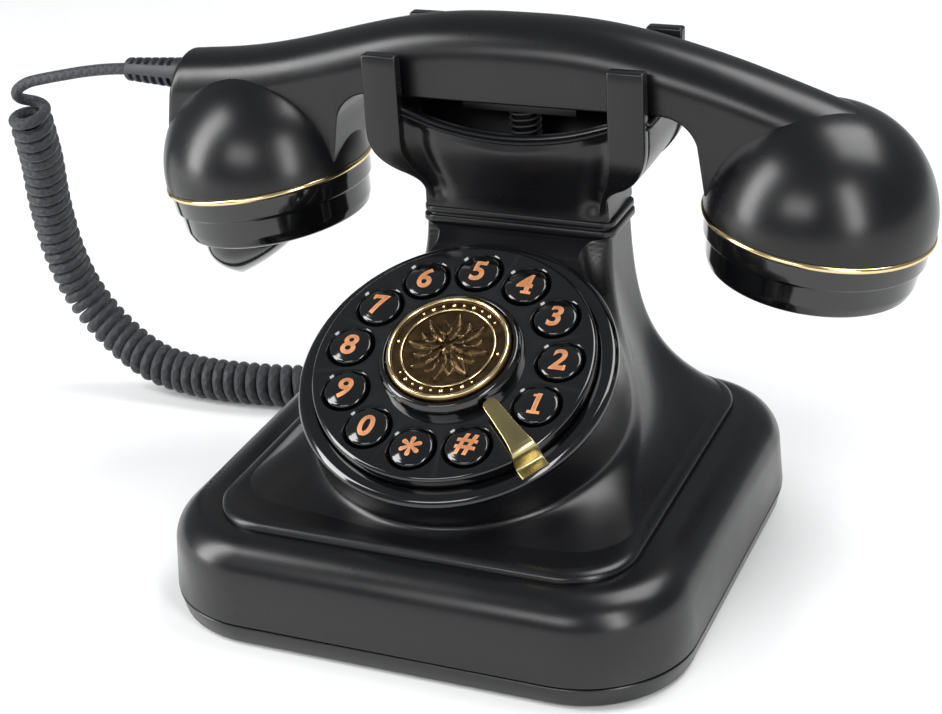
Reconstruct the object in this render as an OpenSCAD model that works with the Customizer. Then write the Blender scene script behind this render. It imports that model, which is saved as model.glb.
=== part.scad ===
// Push-button desk telephone with a cradle and a domed handset, in the French boudoir style.
// Millimetres. The origin is on the resting surface under the middle of the base.
// +X is to the right of a person facing the dial, -Y is the front, +Z is up.

/* [Base] */
// Width of the base at its parting line
base_w = 149.4; // [146:0.2:152]
// Depth of the base at its parting line
base_d = 143.6; // [141:0.2:146]
// Corner radius of the base in plan
base_r = 30.5; // [27:0.5:33]
// Height of the top of the base's shoulder
base_h = 30.5; // [30:0.1:31]
// Radius of the base's rounded shoulder
shoulder_r = 10; // [8:0.5:11]
// Thickness of the moulded walls
wall = 2.4; // [2.2:0.1:2.6]

/* [Housing] */
// Half width of the housing's foot
foot_x = 59.5; // [58:0.5:60]
// Front edge of the housing's foot
foot_front = -60.3; // [-61:0.1:-59]
// Rear edge of the housing's foot
foot_rear = 62.3; // [61:0.1:63]
// How fast the flare of the housing dies out with height
flare = 0.076; // [0.07:0.002:0.082]
// Half width of the neck
neck_x = 27.4; // [26:0.2:28]
// Half depth of the neck
neck_y = 11; // [10.4:0.2:11.6]
// Height of the seam between housing and cradle
seam_z = 85.5; // [85:0.1:86]

/* [Dial] */
// Height of the dial's centre at the key tops
dial_z = 69.4; // [69:0.1:70]
// Distance of the dial's centre in front of the origin
dial_y = 18.9; // [18.5:0.1:19.5]
// Angle of the dial's axis above the horizontal
dial_tilt = 62.6; // [62:0.1:63]
// Radius of the dial's outer ring
dial_r = 44.5; // [44:0.1:45]
// Radius of the circle of keys
key_circle_r = 29.95; // [29.5:0.05:30.2]
// Radius of a key cap
key_r = 5.9; // [5.6:0.1:6]

/* [Handset] */
// Distance from the middle of the handset to each gilt ring
ear_x = 84; // [83:0.5:85]
// Distance of the handset behind the origin
hand_y = 42.8; // [42.5:0.1:43.3]
// Height of the gilt rings
ring_z = 93.9; // [93.5:0.1:94.3]
// Outward lean of the domes
dome_lean = 8.75; // [8:0.25:9]
// Radius of a dome
dome_r = 31.5; // [31:0.1:32]
// Height of the underside of the grip
grip_z = 123; // [122.8:0.1:123.2]
// Half depth of the grip
grip_y = 12.2; // [11.8:0.1:12.4]

/* [Hidden] */

// Low point and radius of the cradle's sagging rim
saddle_z = 115.6;
saddle_r = 84.6;

// Height of the small ledge behind the dial, at the foot of the neck
ledge_z = 83.3;

$fn = 64;
tray_z0 = 1;
tray_z1 = 7.1;
base_z0 = 7.4;
base_draft = 0.9;
base_cy = 0;
foot_z = 31.5;
foot_r = 18.4;
foot_cy = (foot_front + foot_rear) / 2;
foot_y = (foot_rear - foot_front) / 2;
neck_front = hand_y - neck_y;
neck_rear = hand_y + neck_y;
neck_r = 4;
axis_y = 15;
boss_h = -8;
ring_h = -5;
disc_h = -1.2;
disc_r = 39.4;
key_step = 28.96;
key_start = -22.06;
bezel_r = 20;
medallion_r = 17.2;
screw_at = [[-48, -44], [48, -44], [-48, 44], [48, 44]];
cradle_screw_x = 20;
jack_x = 38;
jack_z = 15.5;
trough_z = 103;
prong_top = 137.2;
prong_in = 30.7;
prong_out = 41.1;
prong_t = 4;
prong_front = hand_y - 19.5;
prong_rear = hand_y + 19.5;
crook_x = 26;
crook_z = 115;
crook_r = prong_out - crook_x;
crown_h = 11;
cap_h = 17;
cap_floor = 2.4 - cap_h;
lead_r = 1.8;
coil_r = 6.5;
black = [0.07, 0.07, 0.08];
gloss = [0.03, 0.03, 0.035];
gilt = [0.85, 0.65, 0.25];
cord_colour = [0.12, 0.14, 0.16];
lead_route = [[-129.8, 42.8, 120.8], [-134, 42.8, 120.4], [-140, 43, 119.4], [-147, 43, 117.8],
    [-154, 43, 116], [-161, 43, 114.2], [-167, 43, 112.4], [-171, 43, 110.4], [-173.2, 43, 108],
    [-173.6, 43, 105.5]];
coil_route = [[-169, 43, 105], [-169.2, 43.6, 101], [-170, 46, 94], [-172, 50, 84], [-174, 53, 72],
    [-175, 56, 60], [-174, 58, 48], [-171, 60, 36], [-165, 61, 26], [-156, 61, 17], [-145, 60, 11],
    [-134, 60, 8], [-122, 60, 7], [-108, 61, 7], [-95, 63, 7], [-83, 67, 7], [-72, 72, 7],
    [-62, 79, 7], [-56, 84, 7]];
tail_route = [[-56, 84, 7], [-52.5, 87, 7], [-48.5, 90, 7.6], [-44.5, 91.6, 9.4], [-41.2, 91, 12],
    [-38.8, 88.4, 14.4], [-38, 85.4, 15.4], [-38, 82, 15.5]];

// Rounded rectangle as points, centred on (0, cy)
function rrect(hx, hy, r, cy, n) = [for (q = [0:3], i = [0:n])
    let (a = 90 * q + 90 * i / n, sx = (q == 0 || q == 3) ? 1 : -1, sy = q < 2 ? 1 : -1)
    [sx * (hx - r) + r * cos(a), cy + sy * (hy - r) + r * sin(a)]];

// A flat outline lifted to height z
function at_z(outline, z) = [for (p = outline) [p[0], p[1], z]];

// Solid through a stack of closed rings with equal point counts
module loft(rings) {
    m = len(rings);
    n = len(rings[0]);
    sides = [for (j = [0:m - 2], i = [0:n - 1]) let (k = (i + 1) % n, a = j * n, b = a + n)
        each [[a + i, b + i, b + k], [a + i, b + k, a + k]]];
    bottom = [for (i = [0:n - 1]) i];
    top = [for (i = [n - 1:-1:0]) (m - 1) * n + i];
    polyhedron(points = [for (ring = rings) each ring], faces = concat(sides, [bottom, top]));
}

// Unit vector
function unit(v) = v / norm(v);

// Tube of radius r along a route; its rings start from a direction square to aside
module tube(route, r, sides, aside) {
    n = len(route);
    rings = [for (i = [0:n - 1])
        let (t = unit(route[min(i + 1, n - 1)] - route[max(i - 1, 0)]),
            u = unit(cross(t, aside)), v = cross(t, u))
        [for (k = [0:sides - 1]) let (a = 360 * k / sides)
            route[i] + r * (cos(a) * u + sin(a) * v)]];
    loft(rings);
}

// Things placed on the dial's axis, h above the key tops
module at_dial(h = 0) {
    translate([0, -dial_y, dial_z]) rotate([90 - dial_tilt, 0, 0]) translate([0, 0, h]) children();
}

// Things placed on a capsule's axis: side is -1 for the mouth and 1 for the ear
module at_ring(side) {
    translate([side * ear_x, hand_y, ring_z]) rotate([0, side * dome_lean, 0]) children();
}

// Smooth union of two distances
function blend(a, b, k) = let (h = max(k - abs(a - b), 0) / k) min(a, b) - h * h * k / 4;

// Distance to a rounded rectangle
function rect_distance(x, y, hx, hy, r) = let (qx = abs(x) - hx + r, qy = abs(y) - hy + r)
    min(max(qx, qy), 0) + norm([max(qx, 0), max(qy, 0)]) - r;

// Distance to the housing: a flared skirt, the dial's round boss and the web behind it
function housing_distance(x, y, z) = let (
    e = exp(-flare * (z - foot_z)),
    front = neck_front + (foot_front - neck_front) * e,
    rear = neck_rear + (foot_rear - neck_rear) * e,
    skirt = rect_distance(x, y - (front + rear) / 2, neck_x + (foot_x - neck_x) * e,
        (rear - front) / 2, neck_r + (foot_r - neck_r) * e),
    up = (y + dial_y) * sin(dial_tilt) + (z - dial_z) * cos(dial_tilt),
    boss = norm([x, up]) - dial_r + 0.3,
    web = rect_distance(x, y - 15, 19, 28, 8))
    blend(blend(skirt, boss, 15), web, 8);

// Radius at which the housing's distance equals d, found by halving
function housing_radius(a, z, d, low = 0, high = 100, steps = 15) = let (r = (low + high) / 2)
    steps == 0 ? r
    : housing_distance(r * cos(a), axis_y + r * sin(a), z) < d
        ? housing_radius(a, z, d, r, high, steps - 1)
        : housing_radius(a, z, d, low, r, steps - 1);

function housing_ring(z, d, n) = [for (i = [0:n - 1]) let (a = 360 * i / n,
    r = housing_radius(a, z, d)) [r * cos(a), axis_y + r * sin(a), z]];

module housing_outer() {
    loft([for (z = [33, 34, 35.5, 37.5, 40, 43, 46, 50, 54, 59, 64, 70, 76, 81, seam_z])
        housing_ring(z, 0, 68)]);
}

module housing_inner() {
    loft([for (z = [24, 33, 38, 44, 51, 60, 70, 80, seam_z + 1])
        housing_ring(max(z, 33), -wall, 52)]);
}

function base_ring(z, inset) = at_z(
    rrect(base_w / 2 - inset, base_d / 2 - inset, base_r - inset, base_cy, 8), z);

// Inset and height of the base's wall and rounded shoulder, for a wall offset inwards by d
function shoulder(d) = [for (i = [0:6]) let (a = 15 * i)
    [base_h - shoulder_r + (shoulder_r - d) * sin(a),
        base_draft + shoulder_r - (shoulder_r - d) * cos(a)]];

module base_outer() {
    loft(concat([base_ring(base_z0, 0)], [for (s = shoulder(0)) base_ring(s[0], s[1])]));
}

module base_inner() {
    loft(concat([base_ring(base_z0 - 1, wall)], [for (s = shoulder(wall)) base_ring(s[0], s[1])]));
}

module foot_lip() {
    loft([for (s = [[base_h - 1, 0], [31.3, 0], [32.2, 0.5], [32.7, 1.4], [33.2, 3]])
        at_z(rrect(foot_x - s[1], foot_y - s[1], foot_r - s[1], foot_cy, 6), s[0])]);
}

// Space above the dial's seat, in front of the neck
module above_dial() {
    intersection() {
        at_dial(boss_h) translate([-100, -100, 0]) cube([200, 200, 100]);
        translate([-100, -120, 40]) cube([200, 120 + neck_front - 1, 100]);
    }
    translate([-100, -120, ledge_z]) cube([200, 120 + neck_front - 1, 100]);
}

module screw_bosses() {
    for (p = screw_at) translate([p[0], p[1], base_z0 + 0.6]) cylinder(r = 3.4, h = 34);
    for (s = [-1, 1]) translate([s * cradle_screw_x, hand_y, 66]) cylinder(r = 3.2, h = 30);
    for (m = [0, 1]) mirror([m, 0, 0]) translate([cradle_screw_x, hand_y - 1.2, 66]) cube([12, 2.4, 30]);
}

module housing() {
    color(black) difference() {
        union() {
            base_outer();
            foot_lip();
            housing_outer();
        }
        difference() {
            union() {
                base_inner();
                housing_inner();
            }
            screw_bosses();
        }
        above_dial();
        at_dial(boss_h - 12) cylinder(r = 38.2, h = 20);
        for (p = screw_at) translate([p[0], p[1], 5]) cylinder(r = 1.3, h = 18);
        for (s = [-1, 1]) translate([s * cradle_screw_x, hand_y, 76]) cylinder(r = 1.3, h = 20);
        translate([-jack_x - 6, 60, jack_z - 5]) cube([12, 20, 10]);
        translate([jack_x - 7, 60, jack_z - 5]) cube([14, 20, 10]);
        translate([-5.2, 60, jack_z - 2]) cube([10.4, 20, 4]);
    }
}

module bottom_tray() {
    color(black) difference() {
        loft([base_ring(tray_z0, 2), base_ring(tray_z0 + 0.8, 1.2), base_ring(tray_z1, 0)]);
        loft([base_ring(tray_z0 + 2.2, 3.6), base_ring(tray_z1 + 1, wall)]);
        for (p = screw_at) translate([p[0], p[1], 0]) cylinder(r = 1.7, h = 9);
        for (p = screw_at) translate([p[0], p[1], 0]) cylinder(r = 3.2, h = 2);
        for (sx = [-1, 1], sy = [-1, 1]) translate([sx * 52, sy * 54, 0]) cylinder(r = 6.1, h = 2);
    }
}

module rubber_feet() {
    color([0.1, 0.1, 0.1]) for (sx = [-1, 1], sy = [-1, 1]) translate([sx * 52, sy * 54, 0])
        rotate_extrude() polygon([[0, 0], [5.2, 0], [6, 0.8], [6, 2], [0, 2]]);
}

// Pan-head screw pointing up from its head at the origin
module screw(head_r, head_h, r, length) {
    cylinder(r = head_r, h = head_h);
    translate([0, 0, head_h]) cylinder(r = r, h = length);
}

module tray_screws() {
    color("silver") for (p = screw_at) translate([p[0], p[1], 1.1]) screw(2.9, 0.9, 1.3, 14);
}

module ballast_weight() {
    color("gray") translate([-30, -52, 3.2]) cube([60, 44, 7]);
}

module main_board() {
    color("darkgreen") difference() {
        translate([-42, 6, 9]) cube([84, 48, 1.6]);
        for (s = [-1, 1]) translate([s * 38, 12, 8]) cylinder(r = 1.6, h = 4);
    }
    color(black) for (s = [-1, 1]) translate([s * 38, 12, 3.2]) difference() {
        cylinder(r = 3, h = 5.8);
        translate([0, 0, 1]) cylinder(r = 1.2, h = 6);
    }
    color(black) translate([-14, 22, 10.6]) cube([16, 10, 3]);
}

module ringer() {
    color(black) translate([22, 24, 10.6]) rotate_extrude()
        polygon([[1.5, 0], [11, 0], [11, 7], [1.5, 7]]);
}

function crook_half(z) = z >= crook_z ? prong_out
    : crook_x + sqrt(max(crook_r * crook_r - (crook_z - z) * (crook_z - z), 0));

// The hooked outline of a prong, from its root at the neck to its tip
module prong_outline(inner_r) {
    translate([prong_in, crook_z]) square([prong_out - prong_in, prong_top - crook_z]);
    intersection() {
        translate([crook_x, crook_z]) difference() {
            circle(r = crook_r);
            circle(r = inner_r);
        }
        translate([crook_x, crook_z - crook_r]) square(crook_r);
    }
}

// One slab in the XZ plane between two depths
module slab(y0, y1) {
    translate([0, y1, 0]) rotate([90, 0, 0]) linear_extrude(y1 - y0) children();
}

module prongs() {
    for (m = [0, 1]) mirror([m, 0, 0]) {
        slab(prong_front, prong_front + prong_t) prong_outline(crook_r - 10.4);
        translate([0, 0, 2]) slab(prong_rear - prong_t, prong_rear) prong_outline(crook_r - 10.4);
    }
}

// Outline of the trough at height z: it widens along the prongs' crooks
function trough_ring(z, inset, z_at) = at_z(rrect(crook_half(z) - inset,
    neck_y + 5.2 * min(1, (z - crook_z + crook_r) / 9) - inset, 3, hand_y, 4), z_at);

// Open trough between the prongs, with a sagging rim front and back
module trough() {
    difference() {
        loft([for (z = [100, 101, 103, 106, 110, 115, grip_z - 0.3]) trough_ring(z, 0, z)]);
        loft([for (z = [103, 104.5, 107, 110.5, 115, grip_z + 1])
            trough_ring(z, 2.8, z == 103 ? trough_z : z)]);
        translate([0, 0, saddle_z + saddle_r]) rotate([90, 0, 0])
            translate([0, 0, -hand_y]) cylinder(r = saddle_r, h = 60, center = true, $fn = 180);
    }
}

module cradle() {
    color(black) difference() {
        union() {
            for (b = [[seam_z, 2.4, 29.1, 11.9], [seam_z + 2.4, 0.5, 28.2, 11.1],
                [seam_z + 2.9, 2.1, 28.9, 11.7], [seam_z + 5, 10, neck_x, neck_y]])
                translate([0, 0, b[0]]) linear_extrude(b[1]) polygon(rrect(b[2], b[3], neck_r, hand_y, 6));
            trough();
            prongs();
        }
        difference() {
            translate([-neck_x + wall, neck_front + wall, seam_z - 1])
                cube([2 * (neck_x - wall), 2 * (neck_y - wall), trough_z - 3 - seam_z + 1]);
            for (s = [-1, 1]) translate([s * cradle_screw_x, hand_y, seam_z - 2]) cylinder(r = 3.2, h = 20);
        }
        for (s = [-1, 1]) translate([s * cradle_screw_x, hand_y, 80]) cylinder(r = 1.7, h = 30);
        translate([0, hand_y, 98]) cylinder(r = 3.6, h = 10);
    }
}

module cradle_screws() {
    color("silver") for (s = [-1, 1]) translate([s * cradle_screw_x, hand_y, trough_z])
        mirror([0, 0, 1]) translate([0, 0, -1.6]) screw(2.9, 1.6, 1.3, 24);
}

module hook_switch() {
    color("darkred") translate([-6.5, hand_y - 3, 74]) cube([13, 6, 9]);
    color(black) translate([-12, hand_y - 5, 71]) cube([24, 10, 3]);
}

module hook_spring() {
    color("silver") translate([0, hand_y, trough_z]) rotate_extrude()
        polygon([[3.8, 0], [4.8, 0], [4.8, 15.5], [3.8, 15.5]]);
}

module hook_plunger() {
    color(black) translate([0, hand_y, 0]) {
        translate([0, 0, 84]) cylinder(r = 3.3, h = grip_z - 88);
        translate([-17, -5, grip_z - 4.3]) cube([34, 10, 4]);
    }
}

module keypad_board() {
    color("darkgreen") at_dial(-11.8) cylinder(r = 36.7, h = 1.6);
}

module keypad_membrane() {
    color("gray") at_dial(-10.2) cylinder(r = 36.7, h = 1);
}

module dial_ring() {
    color(gloss) at_dial() rotate_extrude() polygon([[disc_r + 0.1, boss_h], [dial_r, boss_h],
        [dial_r, ring_h - 0.9], [dial_r - 0.9, ring_h], [disc_r + 0.1, ring_h]]);
}

function key_angle(i) = key_start + key_step * i;

module at_key(i, h = 0) {
    at_dial() rotate([0, 0, key_angle(i)]) translate([key_circle_r, 0, h]) children();
}

module dial_disc() {
    color(gloss) difference() {
        union() {
            at_dial() rotate_extrude() polygon([[17.6, disc_h - 3], [37, disc_h - 3], [37, -11.8],
                [38, -11.8], [38, boss_h], [disc_r, boss_h], [disc_r, disc_h - 0.7],
                [disc_r - 0.7, disc_h], [17.6, disc_h]]);
            for (s = [-1, 1]) at_dial(-6) translate([s * 15.5 - 2, -3, 0]) cube([4, 6, 2.2]);
            for (s = [-1, 1]) at_dial(-6) translate([s * 18.2 - 1.5, -3, 0]) cube([3, 6, 4]);
        }
        for (i = [0:11]) at_key(i, -10) cylinder(r = key_r + 0.35, h = 12);
        for (i = [0:11]) at_key(i, disc_h - 1) cylinder(r1 = key_r + 0.35, r2 = key_r + 1.7, h = 1.35);
        at_dial(-4.9) rotate([0, 90, 0]) cylinder(r = 1.05, h = 60, center = true);
    }
}

module centre_bezel() {
    color(gloss) at_dial() rotate_extrude() polygon([[17.8, disc_h], [bezel_r, disc_h],
        [bezel_r - 0.1, 1.2], [bezel_r - 0.7, 2.6], [bezel_r - 1.4, 3.2], [17.9, 3.1]]);
}

// Gilt pointer: a foot on the ring, a step over the disc and a tapering finger
module finger_stop() {
    color(gilt) at_dial() rotate([0, 0, -42]) intersection() {
        translate([0, 5, 0]) rotate([90, 0, 0]) linear_extrude(10) polygon([[43.9, ring_h],
            [43.9, ring_h + 0.8], [41.3, ring_h + 0.8], [39.9, 0.6], [36, 1.2], [21.2, 2.6],
            [21.2, 1.8], [36, 0.4], [39.2, -0.2], [40.6, ring_h]]);
        translate([0, 0, -10]) linear_extrude(20) polygon(concat(
            [[44, -4], [40, -4], [36, -3]],
            [for (a = [270:-15:90]) [23.3 + 2 * cos(a), 2 * sin(a)]],
            [[36, 3], [40, 4], [44, 4]]));
    }
}

module key(i) {
    dome = 20;
    color(gloss) at_key(i) rotate_extrude() polygon(concat(
        [for (r = [0:5]) [r, sqrt(dome * dome - r * r) - dome]],
        [[key_r - 0.3, -1.1], [key_r, -1.5], [key_r, -4.6], [6.7, -4.6], [6.7, -5.6],
        [2.5, -5.6], [2.5, -7.4], [0, -7.4]]));
}

module key_1() { key(0); }
module key_2() { key(1); }
module key_3() { key(2); }
module key_4() { key(3); }
module key_5() { key(4); }
module key_6() { key(5); }
module key_7() { key(6); }
module key_8() { key(7); }
module key_9() { key(8); }
module key_0() { key(9); }
module key_star() { key(10); }
module key_hash() { key(11); }

// Rocking disc in the middle of the dial, with a bridge down to its pin
module medallion() {
    color([0.45, 0.33, 0.16]) difference() {
        union() {
            at_dial() rotate_extrude() polygon([[0, 1.6], [16.9, 1.6], [medallion_r, 1.9],
                [medallion_r, 3.8], [16.8, 4.2], [15.9, 4.2], [15.7, 3.5], [0, 3.5]]);
            at_dial(-6.4) translate([-12.5, -3, 0]) cube([25, 6, 8]);
        }
        at_dial(-4.9) rotate([0, 90, 0]) cylinder(r = 1, h = 60, center = true);
    }
}

module medallion_pin() {
    color("silver") at_dial(-4.9) rotate([0, 90, 0]) cylinder(r = 1, h = 34, center = true);
}

// A line socket seated in the rear wall, with its mouth to the rear
module jack(x, w) {
    difference() {
        translate([x - w / 2 - 2, 58, jack_z - 5]) cube([w + 4, 13.6, 10]);
        translate([x - w / 2, 62, jack_z - 3.6]) cube([w, 12, 7.2]);
    }
}

module handset_jack() {
    color(gloss) jack(-jack_x, 8);
}

module line_jack() {
    color(gloss) jack(jack_x, 10);
}

module switch_body() {
    color("silver") difference() {
        translate([-8, 60.8, jack_z - 4]) cube([16, 7.6, 8]);
        translate([-5.2, 64, jack_z - 2]) cube([10.4, 8, 4]);
    }
}

module ringer_slider() {
    color(gloss) translate([-4.9, 64.2, jack_z - 1.7]) cube([5.4, 8.6, 3.4]);
}

// Height of the top of the grip at x: high in the middle, level at the ends
function grip_top(x) = 128 + 17.6 * exp(-pow(abs(x) / 68, 2.6))
    - (x > 55 ? 5 * pow((x - 55) / 40, 2) : 0);

// Height of the underside of the grip at x, turning down beside each dome
function grip_under(x) = let (a = abs(x)) a < 43 ? grip_z
    : a < 54 ? grip_z - 11 + sqrt(121 - (a - 43) * (a - 43))
    : max(101, grip_z - 11 - (a - 54) * 7);

// Section of the grip at x, rounded over the top; lean slants it for the cord's end
function grip_ring(x, d, lean) = let (z0 = grip_under(x) + d, z1 = grip_top(x) - d, w = grip_y - d,
    h = min(crown_h, z1 - z0 - 2), section = concat([[-w + 0.8, z0], [w - 0.8, z0], [w, z0 + 0.8]],
    [for (i = [0:10]) let (a = 18 * i) [w * cos(a), z1 - h + h * sin(a)]], [[-w, z0 + 0.8]]))
    [for (p = section) [x + lean * (p[1] - 109), hand_y + p[0], p[1]]];

module grip(d) {
    loft(concat([grip_ring(-110.6 + d, d, 0.15)],
        [for (x = [-102, -92, -82, -72, -64, -57, -55.5, -54, -52, -49, -46, -43, -36, -28, -18, -8,
        2, 12, 22, 30, 38, 43, 46, 49, 52, 54, 55.5, 57, 64, 72, 80, 88]) grip_ring(x, d, 0)],
        [grip_ring(95 - d, d, 0)]));
}

module dome(r) {
    translate([0, 0, 1]) intersection() {
        sphere(r = r);
        cylinder(r = r + 1, h = r + 1);
    }
    cylinder(r = r, h = 1);
}

module handset_shell() {
    color(black) difference() {
        union() {
            grip(0);
            for (s = [-1, 1]) at_ring(s) dome(dome_r);
        }
        grip(wall);
        for (s = [-1, 1]) at_ring(s) difference() {
            translate([0, 0, -0.01]) dome(dome_r - wall);
            for (m = [-1, 1]) translate([0, m * 26.4, 0]) cylinder(r = 3, h = 9);
        }
        for (s = [-1, 1]) at_ring(s) for (m = [-1, 1])
            translate([0, m * 26.4, -1]) cylinder(r = 1.1, h = 8);
        translate([-114, hand_y, 120.8]) rotate([0, 90, 0]) cylinder(r = 4.8, h = 7.4);
    }
}

module gilt_ring() {
    color(gilt) rotate_extrude() polygon([[29.4, -1.2], [31.2, -1.2], [31.8, -0.8], [32, -0.3],
        [31.8, 0], [29.4, 0]]);
}

module mouth_ring() {
    at_ring(-1) gilt_ring();
}

module ear_ring() {
    at_ring(1) gilt_ring();
}

// Two-step cap, hollow from above, with sound holes through its face
module cap() {
    color(gloss) difference() {
        rotate_extrude() polygon([[0, -cap_h], [26.4, -cap_h], [28.1, -16], [28.9, -13.6], [29.5, -7.5],
            [30.5, -7.2], [30.9, -1.2], [28.9, -1.2], [28.3, -5], [26.6, -6], [26.2, cap_floor],
            [0, cap_floor]]);
        for (k = [0:2], i = [0:max(0, 6 * k - 1)]) rotate([0, 0, 60 * i / max(1, k)])
            translate([4 * k, 0, -cap_h - 1]) cylinder(r = 0.9, h = 5, $fn = 24);
    }
}

module mouth_cap() {
    at_ring(-1) cap();
}

module ear_cap() {
    at_ring(1) cap();
}

// Hollow scoop under the mouth cap, open towards the ear
module mouth_horn() {
    color(gloss) at_ring(-1) translate([0, 0, -cap_h]) difference() {
        hull() {
            translate([-7.5, 0, -0.1]) cylinder(r = 16.5, h = 0.1, $fn = 32);
            translate([-18.5, 0, -17]) sphere(r = 1.2, $fn = 16);
        }
        hull() {
            translate([-7.5, 0, 0]) cylinder(r = 14.9, h = 0.2, $fn = 32);
            translate([-17, 0, -14.5]) sphere(r = 0.4, $fn = 16);
        }
        translate([-15.5, -30, -16]) rotate([0, -31, 0]) translate([-1, 0, -40]) cube([60, 60, 40]);
    }
}

module microphone() {
    color("gray") at_ring(-1) translate([0, 0, cap_floor]) cylinder(r = 9, h = 5);
}

module ear_capsule() {
    color("gray") at_ring(1) translate([0, 0, cap_floor]) rotate_extrude()
        polygon([[0, 0], [25.4, 0], [25.4, 4], [14, 10], [0, 10]]);
}

module handset_weight() {
    color("silver") translate([-30, hand_y - 7, grip_z + 2.5]) cube([60, 14, 9]);
}

module handset_screws() {
    color("silver") for (s = [-1, 1]) at_ring(s) for (m = [-1, 1])
        translate([0, m * 26.4, -1]) screw(1.9, 1, 1.1, 6);
}

// Ribbed strain relief seated in the end of the handset
module strain_relief() {
    color(cord_colour) translate([-106.8, hand_y, 120.8]) rotate([0, -90, 0]) rotate_extrude()
        polygon(concat([[0, 0], [4.7, 0], [4.7, 4.6]],
        [for (i = [0:4]) let (z = 5.4 + 3.4 * i, r = 4.6 - 0.22 * i)
            each [[3, z], [3, z + 0.8], [r, z + 0.9], [r, z + 3.2]]],
        [[3.4, 23], [0, 23]]));
}

module handset_lead() {
    color(cord_colour) tube(lead_route, lead_r, 8, [0, 1, 0]);
}

module coil() {
    color(cord_colour) tube(coil_route, coil_r, 12, [0, 1, 0]);
}

module base_lead() {
    color(cord_colour) tube(tail_route, lead_r, 8, [0, 0, 1]);
}

module base_plug() {
    color("gray") translate([-jack_x - 3.8, 62.2, jack_z - 3.3]) cube([7.6, 12, 6.6]);
    color(cord_colour) translate([-jack_x, 82, jack_z]) rotate([90, 0, 0]) cylinder(r = 3, h = 7.8);
}

bottom_tray();
rubber_feet();
tray_screws();
ballast_weight();
main_board();
ringer();
housing();
cradle();
cradle_screws();
hook_switch();
hook_spring();
hook_plunger();
keypad_board();
keypad_membrane();
dial_ring();
dial_disc();
centre_bezel();
finger_stop();
key_1();
key_2();
key_3();
key_4();
key_5();
key_6();
key_7();
key_8();
key_9();
key_0();
key_star();
key_hash();
medallion();
medallion_pin();
handset_jack();
line_jack();
switch_body();
ringer_slider();
handset_shell();
mouth_ring();
ear_ring();
mouth_cap();
ear_cap();
mouth_horn();
microphone();
ear_capsule();
handset_weight();
handset_screws();
strain_relief();
handset_lead();
coil();
base_lead();
base_plug();
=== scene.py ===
from math import cos, exp, pi, radians, sin, sqrt, tan

import bmesh
import bpy
import numpy as np
from mathutils import Matrix, Vector


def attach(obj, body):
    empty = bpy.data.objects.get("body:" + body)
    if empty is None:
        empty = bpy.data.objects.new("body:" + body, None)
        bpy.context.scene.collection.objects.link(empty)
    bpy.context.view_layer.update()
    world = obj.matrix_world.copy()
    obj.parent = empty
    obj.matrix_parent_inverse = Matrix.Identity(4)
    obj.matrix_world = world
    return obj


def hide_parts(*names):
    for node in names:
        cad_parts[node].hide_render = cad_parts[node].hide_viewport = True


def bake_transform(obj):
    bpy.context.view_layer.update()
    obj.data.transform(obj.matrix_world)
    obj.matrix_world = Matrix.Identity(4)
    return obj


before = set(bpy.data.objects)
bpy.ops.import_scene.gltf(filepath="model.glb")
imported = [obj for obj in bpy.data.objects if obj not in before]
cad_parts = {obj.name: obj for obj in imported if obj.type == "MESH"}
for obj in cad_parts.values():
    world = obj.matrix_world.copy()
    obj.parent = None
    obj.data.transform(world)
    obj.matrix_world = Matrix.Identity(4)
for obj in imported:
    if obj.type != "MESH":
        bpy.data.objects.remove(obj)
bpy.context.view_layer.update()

MM = 0.001

# Driving dimensions in millimetres: x runs to the right, y to the back and z up

HAND_Y = 42.8  # centre line of the handset, the cradle and the neck
RING_Z = 93.9  # height of the gilt rings' centres
EAR_X = 84  # half the distance between the capsules
DOME_LEAN = radians(8.75)  # each dome leans away from the middle
DIAL_TILT = radians(62.6)  # slope of the dial's face
DIAL_Y = -18.9  # the dial's middle
DIAL_Z = 69.4
RIM_BACK = -8  # the back of the dial's rim, along the dial's axis
KEYS = ["1", "2", "3", "4", "5", "6", "7", "8", "9", "0", "star", "hash"]
KEY_STEP = 28.96  # degrees from one key to the next
KEY_START = -22.06  # degrees from the dial's right-hand side to key 1
KEY_CIRCLE = 29.95  # radius that the keys' centres lie on
BASE_HALF = (74.7, 71.8)  # half width and half depth of the base
BASE_CORNER = 30.5
PYLON_Y = 15  # an axis inside the pylon, from which its wall is found
SEAM_Z = 85.5  # top of the pylon, where the cradle's neck stands on it
NECK_Z = 90.6  # foot of the cradle's trough
PRONG_FOOT_Z = 90.9
NECK_HALF = 27.4  # half width of the neck, which the pylon meets and the prongs sink into
PRONG_X = (30.7, 41.1)  # inner and outer faces of the prongs
CAP_H = 17  # depth of a capsule's cap
SLEEVE_Z = 120.8  # height of the strain relief's axis, where the cord comes out
DIAL = Matrix.Translation((0, DIAL_Y, DIAL_Z)) @ Matrix.Rotation(pi / 2 - DIAL_TILT, 4, "X")


def capsule(side):
    """The frame of a handset capsule at its gilt ring: side is -1 for the mouth, 1 for the ear."""
    lean = Matrix.Rotation(side * DOME_LEAN, 4, "Y")
    return Matrix.Translation((side * EAR_X, HAND_Y, RING_Z)) @ lean


# Mesh building, all in millimetres

def piece(name, verts, faces, place=None, sharp=35):
    """A mesh object: doubled points merged, normals outward and hard edges marked."""
    mesh = bpy.data.meshes.new(name)
    mesh.from_pydata([tuple(float(c) for c in v) for v in verts], [], faces)
    bm = bmesh.new()
    bm.from_mesh(mesh)
    bmesh.ops.remove_doubles(bm, verts=bm.verts, dist=1e-4)
    bmesh.ops.recalc_face_normals(bm, faces=bm.faces)
    bm.to_mesh(mesh)
    bm.free()
    if place is not None:
        mesh.transform(place)
    mesh.transform(Matrix.Scale(MM, 4))
    obj = bpy.data.objects.new(name, mesh)
    bpy.context.scene.collection.objects.link(obj)
    shade(obj, sharp)
    return obj


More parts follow.
